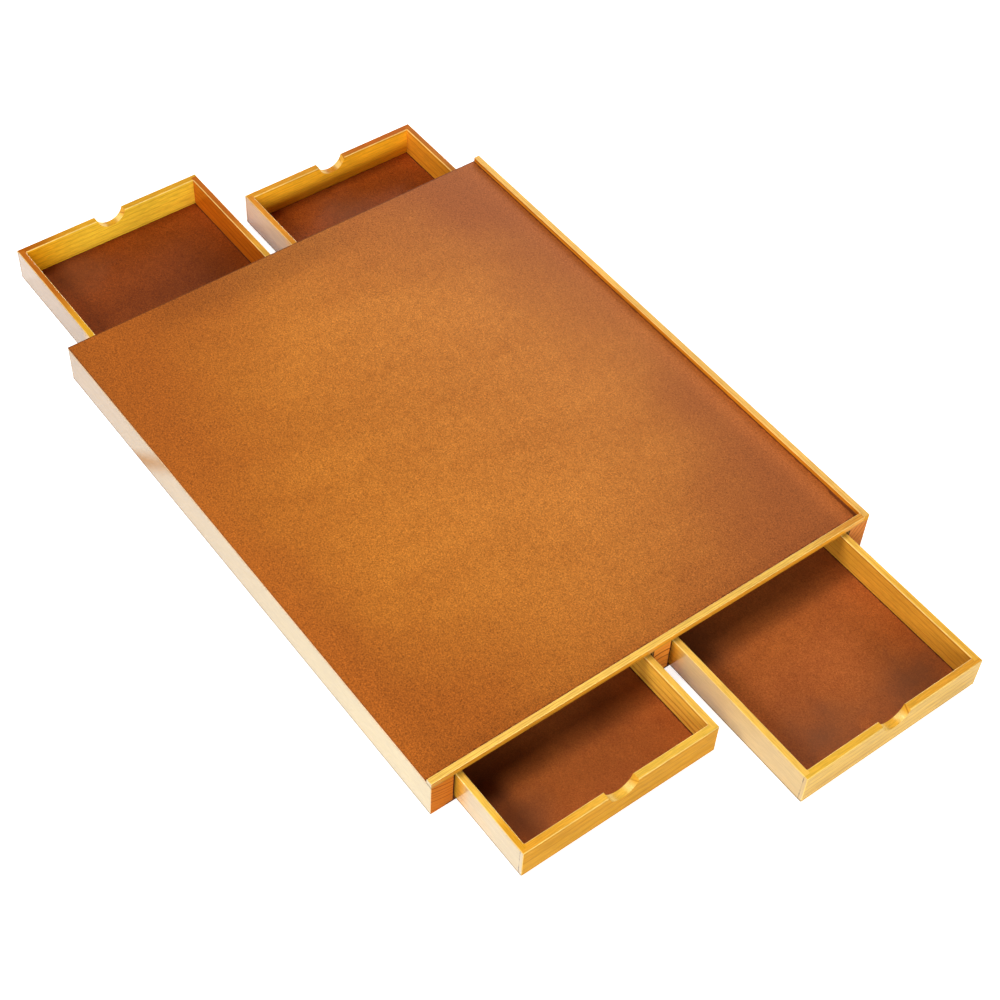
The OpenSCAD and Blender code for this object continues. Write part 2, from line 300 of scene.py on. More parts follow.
# The painted light beside the near lip, which lifts the lips' shadow; beside the long lip its reach, and its
# strength along X
NEAR_LIP_LIGHT = (4 * MM, 24 * MM, 1.12, 1.0)
LONG_LIP_REACH = (8 * MM, 34 * MM)
LONG_LIP_LIGHT = (0.0, 0.16, 0.15, 0.34)
# The strip of glue: how far from the corner it begins and is full, its width, how that varies as a
# factor and a sum, and the softness of its edge
GLUE_START = (50 * MM, 40 * MM)
GLUE_WIDTH = 2.2 * MM
GLUE_VARIES = (1.6, 0.2)
GLUE_EDGE = (-0.4 * MM, 0.0)
# The open side towards -Y: its gain of light along X and the reach of that, and the strength of its
# dark line along X and the reach of that
SIDE_GAIN = (-0.33, 0.05, -0.04, 0.11)
SIDE_REACH = (4 * MM, 36 * MM)
SIDE_LINE = (-0.34, -0.18, 0.60, 0.22)
SIDE_LINE_REACH = (0.5 * MM, 1.5 * MM)
# The far end: the middle of its shade on Y, where that fades and its strength, how far it reaches
# from the end, and the dark line
END_SHADE_AT = -0.06
END_SHADE = (0.08, 0.17, 0.17)
END_REACH = (20 * MM, 60 * MM)
END_LINE = (0.5 * MM, 2.2 * MM, 0.70)


class Graph:
    """A material's node tree, with short calls for the nodes that the recipes below use."""

    def __init__(self, name):
        self.material = bpy.data.materials.new(name)
        self.material.use_nodes = True
        self.tree = self.material.node_tree
        self.tree.nodes.clear()
        self.surface = self.node("ShaderNodeBsdfPrincipled")
        output = self.node("ShaderNodeOutputMaterial")
        self.join(self.surface.outputs["BSDF"], output.inputs["Surface"])

    def node(self, kind, **settings):
        made = self.tree.nodes.new(kind)
        for key, value in settings.items():
            setattr(made, key, value)
        return made

    def node_fed(self, kind, *values, **settings):
        """A new node with its first sockets fed."""
        made = self.node(kind, **settings)
        for value, socket in zip(values, made.inputs):
            self.feed(value, socket)
        return made

    def join(self, output, socket):
        self.tree.links.new(output, socket)

    def feed(self, value, socket):
        """Links an output to the socket, or sets the socket to a constant."""
        if isinstance(value, bpy.types.NodeSocket):
            self.join(value, socket)
        elif hasattr(value, "__len__") and len(value) == 3 and len(socket.default_value) == 4:
            socket.default_value = (*value, 1.0)
        else:
            socket.default_value = value

    def place(self):
        """The point on the piece in the row frame at rest, and its surface direction there."""
        coordinates = self.node("ShaderNodeTexCoord")
        return coordinates.outputs["Object"], coordinates.outputs["Normal"]

    def split(self, vector):
        return self.node_fed("ShaderNodeSeparateXYZ", vector).outputs

    def vector(self, *parts):
        return self.node_fed("ShaderNodeCombineXYZ", *parts).outputs[0]

    def math(self, operation, a, b=0.0, c=0.0, clamp=False):
        return self.node_fed("ShaderNodeMath", a, b, c, operation=operation, use_clamp=clamp).outputs[0]

    def apart(self, a, b):
        """How far two numbers lie apart."""
        return self.math("ABSOLUTE", self.math("SUBTRACT", a, b))

    def without(self, amount, share):
        """The amount less this share of it."""
        return self.math("MULTIPLY", amount, self.math("SUBTRACT", 1.0, share))

    def ease(self, value, low, high, to_low=0.0, to_high=1.0):
        """Maps value from low..high to to_low..to_high with soft ends."""
        sizes = (value, low, high, to_low, to_high)
        return self.node_fed("ShaderNodeMapRange", *sizes, interpolation_type="SMOOTHSTEP").outputs["Result"]

    def fall(self, value, low, high, start=1.0):
        """Falls softly from start to 0 between low and high."""
        return self.ease(value, low, high, start, 0.0)

    def noise(self, vector, detail=2.0, roughness=0.5, distortion=0.0):
        made = self.node("ShaderNodeTexNoise")
        self.feed(vector, made.inputs["Vector"])
        made.inputs["Scale"].default_value = 1.0
        made.inputs["Detail"].default_value = detail
        made.inputs["Roughness"].default_value = roughness
        made.inputs["Distortion"].default_value = distortion
        return made.outputs["Fac"]

    def texture(self, point, cells, shift=(0.0, 0.0, 0.0), **quality):
        """Noise with so many cells to the metre, one number or one for each axis."""
        made = self.node("ShaderNodeMapping")
        self.feed(point, made.inputs["Vector"])
        made.inputs["Scale"].default_value = cells if hasattr(cells, "__len__") else (cells,) * 3
        made.inputs["Location"].default_value = shift
        return self.noise(made.outputs["Vector"], **quality)

    def mix(self, share, a, b, blend="MIX"):
        made = self.node("ShaderNodeMix", data_type="RGBA", blend_type=blend, clamp_factor=True)
        self.feed(share, made.inputs["Factor"])
        self.feed(a, made.inputs["A"])
        self.feed(b, made.inputs["B"])
        return [o for o in made.outputs if o.type == "RGBA"][0]

    def multiply(self, a, b):
        """Two colours, multiplied."""
        return self.mix(1.0, a, b, "MULTIPLY")

    def tinted(self, colour, shade):
        """The colour times a plain number."""
        return self.multiply(colour, self.vector(shade, shade, shade))

    def bump(self, height, distance, strength):
        made = self.node("ShaderNodeBump")
        made.inputs["Strength"].default_value = strength
        made.inputs["Distance"].default_value = distance
        self.feed(height, made.inputs["Height"])
        return made.outputs["Normal"]

    def coat(self, weight, roughness, normal):
        """Adds a clear varnish over the surface."""
        self.feed(weight, self.surface.inputs["Coat Weight"])
        self.feed(roughness, self.surface.inputs["Coat Roughness"])
        self.feed(normal, self.surface.inputs["Coat Normal"])

    def finish(self, colour, roughness, normal, specular=0.5, metallic=0.0, ior=1.5):
        """Feeds the surface and returns the material."""
        self.feed(colour, self.surface.inputs["Base Color"])
        self.feed(roughness, self.surface.inputs["Roughness"])
        self.feed(normal, self.surface.inputs["Normal"])
        self.feed(specular, self.surface.inputs["Specular IOR Level"])
        self.feed(metallic, self.surface.inputs["Metallic"])
        self.feed(ior, self.surface.inputs["IOR"])
        return self.material


class PinePiece:
    """A piece of pine: how it is cut, its colours and its marks.

    wood is the colour between the rings. It and top can also be pairs, which change along the grain
    between the two places of span. pith holds the place of the rings' pith line on the two axes
    across the grain, ring is the spacing of the rings, and coat the weight of the clear varnish.
    """
    span = (0.0, 1.0)
    # The colour of the upper face, where it is another than the wood's: painted light and shade
    top = None
    # The strength of the rings' lines, and their share of it on an upper face with its own colour
    figure = 0.8
    top_figure = 0.3
    # Two places along the grain, and the light of the side faces at each
    drift = None
    # Over which height shade is painted towards the lower edge, and how dark it gets
    foot = None
    # The two tones of the painted reflection on the face towards -Y, and how far from the board's middle
    # along X it starts
    worn = None
    # The places along X of a tan smudge and of a dark joint line on that face
    smudge = None
    joint = None
    # The places on Y of the drawers' openings beside the piece, where shade is painted on its end grain and
    # on its faces inside the opening
    beside = ()
    # The colours of the end grain and of the lines in it
    end = WALL_END

    def __init__(self, node, wood, axis, pith, ring, coat, seed, **details):
        self.low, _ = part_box(node)
        self.wood = wood
        self.axis = axis
        self.pith = pith
        self.ring = ring
        self.coat = coat
        self.seed = seed
        for key, value in details.items():
            setattr(self, key, value)


def across_grain(axis):
    """The numbers of the two axes across the grain."""
    return [i for i in range(3) if i != "XYZ".index(axis)]


def drawn_out(axis, across, along):
    """Cells for a noise that is drawn out along the grain."""
    cells = [across, across, across]
    cells["XYZ".index(axis)] = along
    return cells


def growth_rings(g, piece, point):
    """The late wood of rings round the pith line: 1 in its dark lines and 0 between them."""
    parts = g.split(point)
    seed = piece.seed
    squares = []
    for k, centre in zip(across_grain(piece.axis), piece.pith):
        shift = (seed + 3.1 * k, 5.7 * k, 0.4 * seed)
        sway = g.texture(point, drawn_out(piece.axis, *RING_SWAYS), shift)
        offset = g.math("SUBTRACT", parts[k], centre)
        offset = g.math("ADD", offset, g.math("MULTIPLY_ADD", sway, RING_SWAY, -RING_SWAY / 2))
        squares.append(g.math("MULTIPLY", offset, offset))
    count = g.math("DIVIDE", g.math("SQRT", g.math("ADD", *squares)), piece.ring)
    uneven = g.noise(g.vector(g.math("MULTIPLY", count, RING_PACE), seed))
    count = g.math("ADD", count, g.math("MULTIPLY", uneven, RING_UNEVENNESS))
    turn = g.math("FRACT", count)
    year = g.node_fed("ShaderNodeTexWhiteNoise", g.vector(g.math("FLOOR", count), seed)).outputs["Value"]
    line = g.math("MULTIPLY", g.ease(turn, *LATE_WOOD), g.fall(turn, *RING_END))
    return g.math("MULTIPLY", line, g.ease(year, 0.0, 1.0, FAINTEST_RING, 1.0))


def fibre_shade(g, point, fibre, seed):
    """The light of the fine fibres and of broad patches."""
    patch = g.texture(point, WOOD_PATCHES, (seed, 2.0, 5.0), detail=1.0)
    return g.math("MULTIPLY", g.ease(fibre, *FIBRE_LIGHT), g.ease(patch, *PATCH_LIGHT))


def toned(g, tone, share):
    """A colour, or the mix of a pair of colours."""
    return g.mix(share, *tone) if len(tone) == 2 else tone


def ringed(g, early, lines):
    """The colour between the rings, with their dark lines in it."""
    return g.mix(lines, early, g.multiply(early, LATE_SHARE))


def sawn_faces(g, piece, along, upward, late, streak):
    """The colour between the rings, and that of all faces but the cut ends."""
    lines = g.math("MULTIPLY", late, piece.figure)
    lines = g.math("ADD", lines, g.ease(streak, *STREAK_LINES), clamp=True)
    change = g.ease(along, *piece.span)
    early = toned(g, piece.wood, change)
    faces = ringed(g, early, lines)
    if piece.drift is not None:
        faces = g.tinted(faces, g.ease(along, *piece.drift))
    if piece.top is not None:
        lines_above = g.math("MULTIPLY", lines, piece.top_figure)
        faces = g.mix(upward, faces, ringed(g, toned(g, piece.top, change), lines_above))
    return early, faces


def off_axis(g, facing):
    """1 on rounded arrises, where the surface faces along no axis, and 0 on the flat faces."""
    x, y, z = [g.math("ABSOLUTE", part) for part in facing]
    return g.fall(g.math("MAXIMUM", g.math("MAXIMUM", x, y), z), *ON_AXIS)


def eased_arrises(g, facing, colour):
    """Painted highlights on arrises above and beside a piece, and painted shade on those below."""
    rounded = off_axis(g, facing)
    below = g.fall(facing[2], *LOOKS_DOWN)
    lit_arris = g.math("MULTIPLY", rounded, g.fall(below, 0.0, 1.0, ARRIS_LIGHT_STRENGTH))
    shaded_arris = g.math("MULTIPLY", rounded, g.ease(below, 0.0, 1.0, 0.0, ARRIS_SHADE_STRENGTH))
    return g.mix(shaded_arris, g.mix(lit_arris, colour, ARRIS_HIGHLIGHT), SHADE_AND_JOINT_DARK)


def painted_foot_shade(g, piece, colour, z):
    """Paints shade towards the lower edge where the piece asks for it."""
    if piece.foot is None:
        return colour
    height, darkest = piece.foot
    return g.tinted(colour, g.ease(z, piece.low.z, piece.low.z + height, darkest, 1.0))


def end_grain(g, piece, late, y):
    """The colour of a cut end, with painted shade beside the drawers' openings."""
    end = g.mix(g.ease(late, *END_LINES), *piece.end)
    for place in piece.beside:
        end = g.mix(g.fall(g.apart(y, place), *OPENING_RIM), end, SHADE_AND_JOINT_DARK)
    return end


def painted_gap_shade(g, colour, varnish, y, place):
    """Paints shade on a face inside a drawer's opening, at this place on Y, and takes its varnish away
    there.
    """
    inside = g.fall(g.apart(y, place), *OPENING_INSIDE)
    return g.mix(g.math("MULTIPLY", inside, GAP_SHADE_STRENGTH), colour, SHADE_AND_JOINT_DARK), g.without(varnish, inside)


def smudge_share(g, piece, x, z, cloud):
    """How much of the face the tan smudge covers. Its outline follows the clouds."""
    centre = g.math("MULTIPLY_ADD", z, SMUDGE_LEAN, piece.smudge)
    away = g.math("MULTIPLY_ADD", cloud, SMUDGE_RAGGED, g.apart(x, centre))
    fade = g.ease(z, piece.low.z, piece.low.z + SMUDGE_HEIGHT, *SMUDGE_FADE)
    return g.math("MULTIPLY", g.fall(away, *SMUDGE_WIDTH), fade)


def joint_share(g, piece, point, x):
    """How dark the broken line of the joint is."""
    broken = g.ease(g.texture(point, JOINT_BREAKS), *JOINT_BROKEN)
    return g.math("MULTIPLY", g.fall(g.apart(x, piece.joint), *JOINT_LINE), broken)


def reflection_face(g, piece, point, shade, early):
    """The painted reflection of the bright floor on the faces towards -Y: its colour, and how much of the
    varnish is left.
    """
    x, _, z = g.split(point)
    far_tone, near_tone, _ = piece.worn
    face = g.tinted(g.mix(g.ease(x, *REFLECTION_SPAN), far_tone, near_tone), g.ease(shade, *REFLECTION_LIGHT))
    cloud = g.texture(point, REFLECTION_CLOUDS, shift=(0.0, 3.0, 1.0))
    face = g.mix(g.ease(cloud, *REFLECTION_THIN), face, early)
    varnish = 1.0
    if piece.smudge is not None:
        dull = smudge_share(g, piece, x, z, cloud)
        face = g.mix(dull, face, SMUDGE)
        varnish = g.math("MULTIPLY_ADD", dull, SMUDGE_DULLS, 1.0)
    if piece.joint is not None:
        face = g.mix(joint_share(g, piece, point, x), face, SHADE_AND_JOINT_DARK)
    return face, varnish


def painted_foot_shadow(g, piece, colour, varnish, z, sideways):
    """A painted shadow along the foot of the faces towards -Y: a dull dark line."""
    line = g.fall(z, *[piece.low.z + height for height in FOOT_SHADOW], FOOT_SHADOW_DARK)
    line = g.math("MULTIPLY", line, g.fall(sideways, *LEANS_LEFT))
    return g.mix(line, colour, SHADE_AND_JOINT_DARK), g.without(varnish, line)


def reflected_side(g, piece, point, facing, face, gloss, colour, varnish):
    """Lays the painted reflection over the piece's outer face towards -Y, and varnish over all of that."""
    x, y, z = g.split(point)
    start = piece.worn[2]
    leftward = g.fall(facing[1], *LOOKS_LEFT)
    outermost = g.fall(y, *[piece.low.y + depth for depth in OUTERMOST])
    leftmost = g.math("MULTIPLY", leftward, outermost)
    outward = g.ease(g.math("ABSOLUTE", x), *[start + reach for reach in REFLECTION_START])
    colour = g.mix(g.math("MULTIPLY", leftmost, outward), colour, face)
    varnish = g.math("ADD", g.without(varnish, leftmost), g.math("MULTIPLY", leftmost, gloss))
    return painted_foot_shadow(g, piece, colour, varnish, z, facing[1])


def pine(name, piece):
    """Varnished pine with growth rings, fibres, streaks and the piece's own marks.

    The varnish is thin on the top, and missing on the end grain of pieces whose grain runs along X.
    """
    g = Graph(name)
    point, direction = g.place()
    parts, facing = g.split(point), g.split(direction)
    _, y, z = parts
    along = "XYZ".index(piece.axis)
    late = growth_rings(g, piece, point)
    fibre = g.texture(point, drawn_out(piece.axis, *FIBRES), detail=3.0, roughness=0.6)
    shift = (piece.seed,) * 3
    streak = g.texture(point, drawn_out(piece.axis, *STREAKS), shift, detail=3.0, roughness=0.55)
    shade = fibre_shade(g, point, fibre, piece.seed)
    upward = g.ease(facing[2], *LOOKS_UP)

    early, faces = sawn_faces(g, piece, parts[along], upward, late, streak)
    faces = painted_foot_shade(g, piece, g.tinted(eased_arrises(g, facing, faces), shade), z)
    cut_end = g.ease(g.math("ABSOLUTE", facing[along]), *LOOKS_ALONG)
    colour = g.mix(cut_end, faces, end_grain(g, piece, late, y))
    varnish = g.ease(upward, 0.0, 1.0, piece.coat, TOP_VARNISH * piece.coat)
    if piece.axis == "X":
        varnish = g.without(varnish, cut_end)
    if piece.worn is not None:
        face, gloss = reflection_face(g, piece, point, shade, early)
        colour, varnish = reflected_side(g, piece, point, facing, face, gloss, colour, varnish)
    for place in piece.beside:
        colour, varnish = painted_gap_shade(g, colour, varnish, y, place)

    relief = g.math("ADD", fibre, g.math("MULTIPLY", late, LATE_RELIEF))
    roughness = g.ease(streak, *STREAK_ROUGHNESS)
    roughness = g.math("ADD", roughness, g.math("MULTIPLY", cut_end, END_ROUGHNESS))
    orange_peel = g.texture(point, ORANGE_PEEL, detail=1.0)
    g.coat(varnish, VARNISH_ROUGHNESS, g.bump(orange_peel, *VARNISH_RELIEF))
    return g.finish(colour, roughness, g.bump(relief, *WOOD_RELIEF), specular=WOOD_SPECULAR)


def hardboard(g, point, light, dark, coarseness):
    """The colour of stained hardboard in clouds and blotches, its fine grit and its relief."""
    cloud = g.texture(point, BOARD_CLOUDS, detail=3.0, roughness=0.55, distortion=0.4)
    blotch = g.texture(point, BLOTCHES, detail=5.0, roughness=0.70)
    mottle = g.texture(point, MOTTLE, detail=3.0, roughness=0.70, distortion=1.0)
    speck = g.texture(point, SPECKS, shift=(7.0, 1.0, 4.0), detail=0.0)
    tone = g.math("MULTIPLY_ADD", cloud, *CLOUD_TONE)
    tone = g.math("ADD", tone, g.math("MULTIPLY_ADD", blotch, *BLOTCH_TONE), clamp=True)
    grit = g.ease(mottle, *MOTTLE_RANGE, GRIT_LIGHT - coarseness, GRIT_LIGHT + coarseness)
    grit = g.math("ADD", grit, g.ease(speck, *SPECK_LIGHT))
    return g.mix(tone, dark, light), grit, mottle


def finish_sheet(g, colour, direction, relief, roughness, specular, edge_reflection=None):
    """Dull hardboard with dark cut edges, and a painted reflection on its edge towards -Y where a colour for
    it is given.
    """
    _, y, z = g.split(direction)
    edge = g.fall(g.math("ABSOLUTE", z), *SHEET_FACE)
    colour = g.mix(edge, colour, SHEET_EDGE)
    if edge_reflection is not None:
        colour = g.mix(g.fall(y, *LEFT_EDGE), colour, edge_reflection)
    dull = g.ease(edge, 0.0, 1.0, roughness, 1.0)
    return g.finish(colour, dull, g.bump(relief, *SHEET_RELIEF), specular=specular, ior=SHEET_IOR)


def seamed(g, colour, point, distance, width, strength):
    """Draws a ragged dark line where the distance falls to nothing."""
    ragged = g.texture(point, SEAM_BREAKS, detail=3.0)
    varied = g.math("MULTIPLY_ADD", ragged, SEAM_MORE * width, SEAM_LEAST * width)
    share = g.math("DIVIDE", distance, varied)
    return g.mix(g.fall(share, *SEAM_FADE, strength), colour, SEAM)


def base_sheet(name):
    """The plain stained sheet under the frame."""
    g = Graph(name)
    point, direction = g.place()
    colour, grit, relief = hardboard(g, point, *BASE, BASE_GRIT)
    return finish_sheet(g, g.tinted(colour, grit), direction, relief, *BASE_SHEEN)


def nearest_side(g, x, y, low, high):
    """The distance to the nearest of a box's four upright sides."""
    along_x = g.math("MINIMUM", g.math("SUBTRACT", x, low.x), g.math("SUBTRACT", high.x, x))
    along_y = g.math("MINIMUM", g.math("SUBTRACT", y, low.y), g.math("SUBTRACT", high.y, y))
    return g.math("MINIMUM", along_x, along_y)


def grime_and_shade_spots(g, colour, point, x, y, marks):
    """Lays dark spots with a ragged outline over a floor: grime, and painted shade."""
    warp = g.texture(point, GRIME_WARPS, detail=3.0, roughness=0.6)
    for at_x, at_y, radius, strength in marks:
        ends = (g.vector(x, y), (at_x, at_y, 0.0))
        away = g.node_fed("ShaderNodeVectorMath", *ends, operation="DISTANCE").outputs["Value"]
        away = g.math("MULTIPLY_ADD", warp, SPOT_RAGGED * radius, away)
        fade = [share * radius for share in SPOT_FADE]
        colour = g.mix(g.fall(away, *fade, strength), colour, GRIME_AND_SHADE)
    return colour


def drawer_floor(node, tones, coarseness, rim_light, fade, marks):
    """A hardboard floor with spots of grime and painted shade, its light beside the walls, and a seam along
    each side.

    The seam along the side towards +Y is the widest.
    """
    g = Graph(f"hardboard_{node}")
    point, direction = g.place()
    colour, grit, relief = hardboard(g, point, *tones, coarseness)
    x, y, _ = g.split(point)
    low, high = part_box(node)
    distance = g.math("SUBTRACT", nearest_side(g, x, y, low, high), FLOOR_IN_GROOVE)
    shade = g.math("MULTIPLY", g.ease(distance, 0.0, WALL_SHADE, rim_light, 1.0), g.ease(x, *fade))
    colour = grime_and_shade_spots(g, g.tinted(colour, grit), point, x, y, marks)
    colour = seamed(g, g.tinted(colour, shade), point, distance, *FLOOR_SEAM)
    to_side = g.math("SUBTRACT", high.y - FLOOR_IN_GROOVE, y)
    colour = seamed(g, colour, point, to_side, *WIDE_FLOOR_SEAM)
    return finish_sheet(g, colour, direction, relief, *FLOOR_SHEEN)


def rim_stain_and_shade(g, point, middle, half, colour):
    """Tints the work surface from -Y to +Y, bluer towards +Y as a painted sheen, and darkens it towards its
    rim, partly as stain and partly as painted shade.
    """
    x, y, _ = g.split(point)
    u = g.math("DIVIDE", g.math("SUBTRACT", x, middle.x), half.x)
    v = g.math("DIVIDE", g.math("SUBTRACT", y, middle.y), half.y)
    rightward = g.ease(v, *TINT_SPAN)
    drift = g.texture(point, RIM_DRIFTS, shift=(4.0, 1.0, 0.0), detail=4.0, roughness=0.6)
    out = g.math("MULTIPLY_ADD", drift, *RIM_DRIFT)
    out = g.math("MULTIPLY_ADD", g.math("MULTIPLY", u, u), RIM_ALONG_X, out)
    out = g.math("MULTIPLY_ADD", g.math("MULTIPLY", v, v), RIM_ALONG_Y, out)
    colour = g.multiply(colour, g.mix(rightward, *BOARD_TINT_AND_SHEEN))
    return g.mix(g.ease(out, *RIM_DARKENS), colour, g.mix(rightward, *BOARD_RIM))


def calmer_to_right(g, grit, y):
    """The grit is weaker towards +Y."""
    calm = g.math("MULTIPLY", g.math("SUBTRACT", grit, GRIT_LIGHT), g.ease(y, *GRIT_CALMS))
    return g.math("ADD", calm, GRIT_LIGHT)


def painted_light_by_lips(g, colour, x, to_near_lip, to_long_lip):
    """Painted light on the strips of the surface beside the lips, which lifts the shadow the lips cast
    there.
    """
    colour = g.tinted(colour, g.ease(to_near_lip, *NEAR_LIP_LIGHT))
    lift = g.math("MULTIPLY", g.fall(to_long_lip, *LONG_LIP_REACH), g.ease(x, *LONG_LIP_LIGHT))
    return g.tinted(colour, g.math("ADD", lift, 1.0))


def long_lip_seam(g, point, colour, x, to_lip, corner):
    """The glue line at the long lip, which leaves the lip for a stretch near the corner."""
    wander = g.texture(point, GLUE_WANDERS, detail=4.0)
    strip = g.ease(x, *[corner - distance for distance in GLUE_START], 0.0, GLUE_WIDTH)
    strip = g.math("MULTIPLY", strip, g.math("MULTIPLY_ADD", wander, *GLUE_VARIES))
    off_line = g.math("SUBTRACT", to_lip, strip)
    colour = g.mix(g.fall(off_line, *GLUE_EDGE), colour, GLUE_STRIP)
    return seamed(g, colour, point, g.math("ABSOLUTE", off_line), *LONG_LIP_SEAM)


def open_rims(g, colour, x, y, from_end, from_side):
    """Light, shade and dark lines along the two sides without a lip, towards -X and -Y."""
    gain = g.math("MULTIPLY", g.ease(x, *SIDE_GAIN), g.fall(from_side, *SIDE_REACH))
    shaded = g.fall(g.apart(y, END_SHADE_AT), *END_SHADE)
    loss = g.math("MULTIPLY", shaded, g.fall(from_end, *END_REACH))
    colour = g.tinted(colour, g.math("SUBTRACT", g.math("ADD", gain, 1.0), loss))
    line = g.math("MULTIPLY", g.ease(x, *SIDE_LINE), g.fall(from_side, *SIDE_LINE_REACH))
    line = g.math("MAXIMUM", line, g.fall(from_end, *END_LINE))
    return g.mix(line, colour, SEAM)


def work_surface(name, node):
    """Hardboard stained golden in the middle and darker to the rim, the darkening partly stain and partly
    painted shade, with glue lines at the lips.
    """
    g = Graph(name)
    point, direction = g.place()
    low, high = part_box(node)
    x, y, _ = g.split(point)
    to_near_lip, to_long_lip = g.math("SUBTRACT", high.x, x), g.math("SUBTRACT", high.y, y)
    from_end, from_side = g.math("SUBTRACT", x, low.x), g.math("SUBTRACT", y, low.y)
    colour, grit, relief = hardboard(g, point, *BOARD, BOARD_GRIT)
    colour = rim_stain_and_shade(g, point, (low + high) / 2, (high - low) / 2, colour)
    colour = g.tinted(colour, calmer_to_right(g, grit, y))
    colour = painted_light_by_lips(g, colour, x, to_near_lip, to_long_lip)
    colour = seamed(g, colour, point, to_near_lip, *NEAR_LIP_SEAM)
    colour = long_lip_seam(g, point, colour, x, to_long_lip, high.x)
    colour = open_rims(g, colour, x, y, from_end, from_side)
    edge_reflection = g.mix(g.ease(x, *REFLECTION_SPAN), *EDGE_REFLECTION)
    return finish_sheet(g, colour, direction, relief, *BOARD_SHEEN, edge_reflection)


def plain(name, colour, roughness, metallic=0.0):
    """A plain hidden piece: an even colour with fine marks."""
    g = Graph(name)
    point, _ = g.place()
    marks = g.texture(point, FINE_MARKS)
    colour = g.tinted(colour, g.ease(marks, *MARK_LIGHT))
    return g.finish(colour, roughness, g.bump(marks, *MARK_RELIEF), metallic=metallic)


def dress(node, material):
    """Gives a CAD node its material in every slot."""
    slots = NODES[node].data.materials
    for i in range(len(slots)):
        slots[i] = material


def ease_edges(node, width):
    """Rounds the sharp edges of a CAD node by modifiers, so that they catch the light."""
    piece = NODES[node]
    weld = piece.modifiers.new("weld", "WELD")
    weld.merge_threshold = WELD_REACH
    bevel = piece.modifiers.new("eased_edges", "BEVEL")
    bevel.width = width
    bevel.segments = EASING_STEPS
    bevel.limit_method = "ANGLE"
    bevel.angle_limit = SHARP_ANGLE
    bevel.harden_normals = True
    bevel.use_clamp_overlap = True


def pith_for(node, axis, turn, distance):
    """A pith line beside the node's centre: turn is its direction in degrees across the grain."""
    across, upward = across_grain(axis)
    low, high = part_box(node)
    middle = (low + high) / 2
    angle = math.radians(turn)
    return (middle[across] + distance * math.cos(angle), middle[upward] + distance * math.sin(angle))


def dress_pine(node, wood, axis, turn, distance, ring, coat, seed, **details):
    """Cuts a node from its own piece of pine and eases its edges."""
    pith = pith_for(node, axis, turn, distance)
    piece = PinePiece(node, wood, axis, pith, ring, coat, seed, **details)
    dress(node, pine(f"pine_{node}", piece))
    ease_edges(node, WOOD_EASING)


def lip_details():
    """The tops, lines and shades of the near lip and of the long lip."""
    near_lip = {
        "top": LIP_TOPS["near_lip"], "span": (0.170, 0.265), "figure": 0.65, "top_figure": 1.0,
        "drift": (-0.10, 0.02, 0.87, 1.13), "foot": (4 * MM, 0.70), "worn": (*PAINTED_REFLECTION["frame"], EVERYWHERE),
    }
    long_lip = {"top": LIP_TOPS["long_lip"], "figure": 0.7, "top_figure": 0.8, "foot": (1.5 * MM, 0.85)}
    return near_lip, long_lip


def rail_details():
    """The marks and cut ends of the left rail, the right rail and the divider."""
    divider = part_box("centre_divider")
    left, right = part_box("left_rail"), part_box("right_rail")
    left_rail = {
        "worn": (*PAINTED_REFLECTION["frame"], EVERYWHERE), "smudge": RAIL_SMUDGE, "beside": (left[1].y,),
        "figure": 0.5, "end": LEFT_END,
    }
    right_rail = {"beside": (right[0].y,), "end": RIGHT_END}
    centre_divider = {"beside": (divider[0].y, divider[1].y), "end": MIDDLE_END}
    return left_rail, right_rail, centre_divider


def dress_frame():
    """Rails, divider, cross rails and lips in pine; sheets in hardboard; hidden fasteners.

    Each member has its wood, the grain's axis, the direction and distance of its pith, the spacing
    of its rings, its varnish and its details.
    """
    left_rail, right_rail, centre_divider = rail_details()
    near_lip, long_lip = lip_details()
    members = {
        "left_rail": (GOLDEN, "X", 75, 0.140, 5.5 * MM, 1.0, left_rail),
        "right_rail": (AMBER, "X", 140, 0.090, 7.0 * MM, 0.3, right_rail),
        "centre_divider": (AMBER, "X", 268, 0.030, 7.5 * MM, 0.3, centre_divider),
        "left_cross_rail": (AMBER, "Y", 80, 0.050, 4.0 * MM, 0.6, {}),
        "right_cross_rail": (AMBER, "Y", 100, 0.050, 4.0 * MM, 0.6, {}),
        "near_lip": (TAN, "Y", 15, 0.060, 2.8 * MM, 0.15, near_lip),
        "long_lip": (RUST, "X", 165, 0.060, 2.8 * MM, 0.3, long_lip),
    }
    for i, (node, (*cut, details)) in enumerate(members.items()):
        dress_pine(node, *cut, seed=1.7 * i, **details)
    dress("work_panel", work_surface("work_surface", "work_panel"))
    ease_edges("work_panel", PANEL_EASING)
    dress("base_panel", base_sheet("base_sheet"))
    dress("frame_dowels", plain("dowel_beech", BEECH, 0.6))
    dress("base_screws", plain("screw_zinc", ZINC, 0.35, metallic=1.0))


def drawer_walls(number):
    """For each wall of a drawer its colour, its top's colour, the grain's axis, the varnish and the
    strength of the figure. The side that lies towards -Y comes first: it is the left one on the
    near drawers and the right one on the far drawers."""
    outer, inner = ("left_side", "right_side") if number < 3 else ("right_side", "left_side")
    face, varnish = FRONT_FACES[number]
    return {
        outer: (GOLDEN, SIDE_TOPS[number][0], "X", 1.0, 0.5),
        inner: (INWARD[number], SIDE_TOPS[number][1], "X", 0.6, 0.9),
        "front": (face, FRONT_TOPS[number], "Y", varnish, 0.5),
        "back": (AMBER, AMBER, "Y", 0.6, 0.8),
    }


def cut_of(seed):
    """How a drawer's wall is cut: the direction and distance of its pith, and its rings' spacing."""
    turn = 90 + 25 * math.sin(2.3 * seed)
    distance = 0.075 + 0.020 * math.cos(1.9 * seed)
    ring = (8.0 + 1.5 * math.sin(1.3 * seed)) * MM
    return turn, distance, ring


